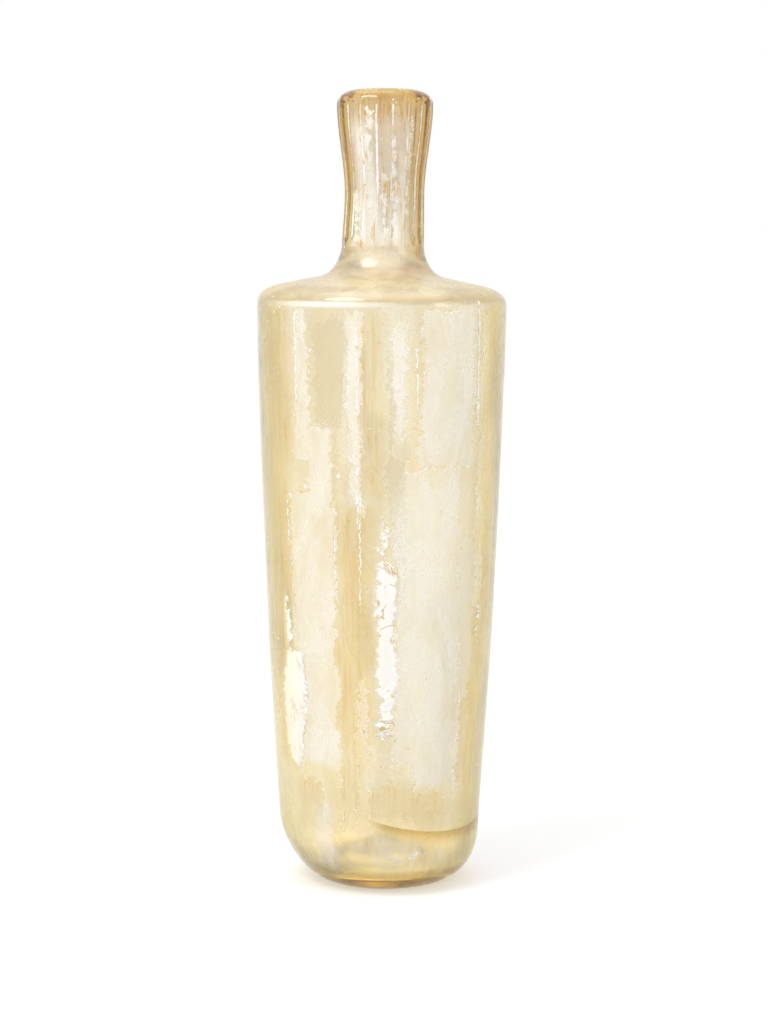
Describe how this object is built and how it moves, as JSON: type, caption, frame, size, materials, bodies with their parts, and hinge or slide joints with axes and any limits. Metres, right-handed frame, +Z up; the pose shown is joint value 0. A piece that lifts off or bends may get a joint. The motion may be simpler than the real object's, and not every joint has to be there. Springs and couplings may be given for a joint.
{
  "type": "glass bottle",
  "caption": "Tall tapering bottle of blown amber glass with a flat shoulder, a flaring neck cut with upright flats and a thick rounded lip, for keeping and pouring liquids.",
  "frame": {"origin": "on the bottle's axis, in the plane of the ring that it rests on", "axes": "+Z up along the axis to the mouth, +X and +Y level, with an arris of the neck's flats on +X"},
  "size_m": [0.0874, 0.0874, 0.2788],
  "materials": {
    "amber_glass": "glossy, with a patchy weathered film",
    "wad_glass": "broken and rough"
  },
  "bodies": {
    "root": {"bottle": "amber_glass", "pontil_wad": "wad_glass"}
  },
  "joints": []
}
